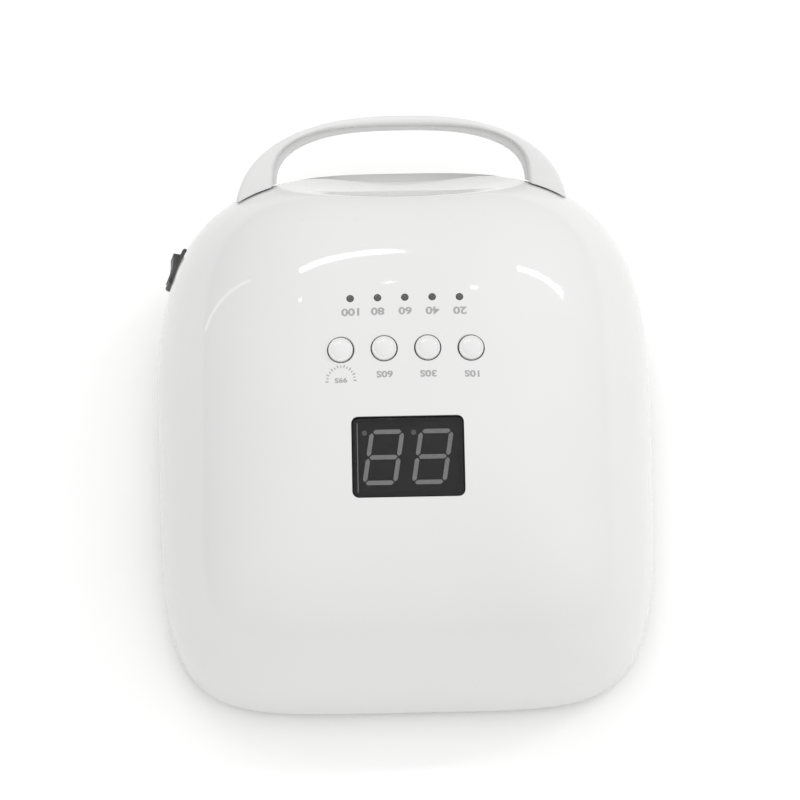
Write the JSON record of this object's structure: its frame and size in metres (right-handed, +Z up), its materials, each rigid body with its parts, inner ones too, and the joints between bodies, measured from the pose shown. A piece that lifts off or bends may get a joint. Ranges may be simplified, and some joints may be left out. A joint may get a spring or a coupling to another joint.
{
  "type": "uv led nail lamp",
  "caption": "Cordless UV LED nail lamp: rounded white hood over a hand tunnel, carry handle, time keys, digit display, power rocker and a lift-off magnetic base tray.",
  "frame": {"origin": "on the table, under the middle of the lamp's box, at the bottom of the rubber feet", "axes": "+Z up; -Y is the front, where the hand goes in and the handle reaches out; +X is the side with the power switch"},
  "size_m": [0.1856, 0.2018, 0.0993],
  "materials": {
    "shell": "glossy white ABS",
    "handle": "satin white ABS",
    "liner": "satin light grey ABS",
    "tray": "satin white ABS",
    "rubber": "matt black rubber",
    "display_window": "polished smoked acrylic",
    "black_plastic": "moulded dark grey nylon",
    "circuit_board": "green solder mask",
    "led_board": "white solder mask with clear LED domes",
    "indicator": "smoked lens",
    "cell_wrap": "shrink wrap",
    "steel": "zinc plated"
  },
  "bodies": {
    "housing": {"outer_shell": "shell", "inner_liner": "liner", "bottom_frame": "tray", "handle_upper": "handle", "handle_lower": "handle", "handle_screw_1": "steel", "handle_screw_2": "steel", "display_lens": "display_window", "display_module": "black_plastic", "display_board": "circuit_board", "key_board": "circuit_board", "led_board_top": "led_board", "led_board_right": "led_board", "led_board_left": "led_board", "led_board_low_right": "led_board", "led_board_low_left": "led_board", "hand_sensor": "black_plastic", "rocker_housing": "black_plastic", "charge_jack": "black_plastic", "battery_cradle": "black_plastic", "battery_cell_1": "cell_wrap", "battery_cell_2": "cell_wrap", "battery_cell_3": "cell_wrap", "tact_switch_10": "black_plastic", "tact_switch_30": "black_plastic", "tact_switch_60": "black_plastic", "tact_switch_99": "black_plastic", "battery_lamp_1": "indicator", "battery_lamp_2": "indicator", "battery_lamp_3": "indicator", "battery_lamp_4": "indicator", "battery_lamp_5": "indicator", "frame_magnet_1": "steel", "frame_magnet_2": "steel", "frame_magnet_3": "steel", "frame_magnet_4": "steel", "housing_screw_1": "steel", "housing_screw_2": "steel", "housing_screw_3": "steel", "housing_screw_4": "steel"},
    "tray": {"base_tray": "tray", "tray_foot_1": "rubber", "tray_foot_2": "rubber", "tray_foot_3": "rubber", "tray_foot_4": "rubber", "tray_magnet_1": "steel", "tray_magnet_2": "steel", "tray_magnet_3": "steel", "tray_magnet_4": "steel"},
    "power_rocker": {"rocker": "black_plastic"},
    "key_10": {"key_cap_10": "shell", "key_plunger_10": "black_plastic"},
    "key_30": {"key_cap_30": "shell", "key_plunger_30": "black_plastic"},
    "key_60": {"key_cap_60": "shell", "key_plunger_60": "black_plastic"},
    "key_99": {"key_cap_99": "shell", "key_plunger_99": "black_plastic"}
  },
  "joints": [
    {"name": "hood_lift_off", "type": "slide", "parent": "tray", "child": "housing", "axis": [0, 0, 1], "range_m": [0, 0.04]},
    {"name": "power_rocker_tilt", "type": "hinge", "parent": "housing", "child": "power_rocker", "pos_m": [0.08269, -0.05905, 0.04442], "axis": [0.2514, -0.0955, -0.9632], "range_deg": [0, 24]},
    {"name": "key_10_press", "type": "slide", "parent": "housing", "child": "key_10", "axis": [0, -0.1874, -0.9823], "range_m": [0, 0.0005], "stiffness_N_per_m": 800, "springref_m": -0.001},
    {"name": "key_30_press", "type": "slide", "parent": "housing", "child": "key_30", "axis": [0, -0.1874, -0.9823], "range_m": [0, 0.0005], "stiffness_N_per_m": 800, "springref_m": -0.001},
    {"name": "key_60_press", "type": "slide", "parent": "housing", "child": "key_60", "axis": [0, -0.1874, -0.9823], "range_m": [0, 0.0005], "stiffness_N_per_m": 800, "springref_m": -0.001},
    {"name": "key_99_press", "type": "slide", "parent": "housing", "child": "key_99", "axis": [0, -0.1874, -0.9823], "range_m": [0, 0.0005], "stiffness_N_per_m": 800, "springref_m": -0.001}
  ]
}
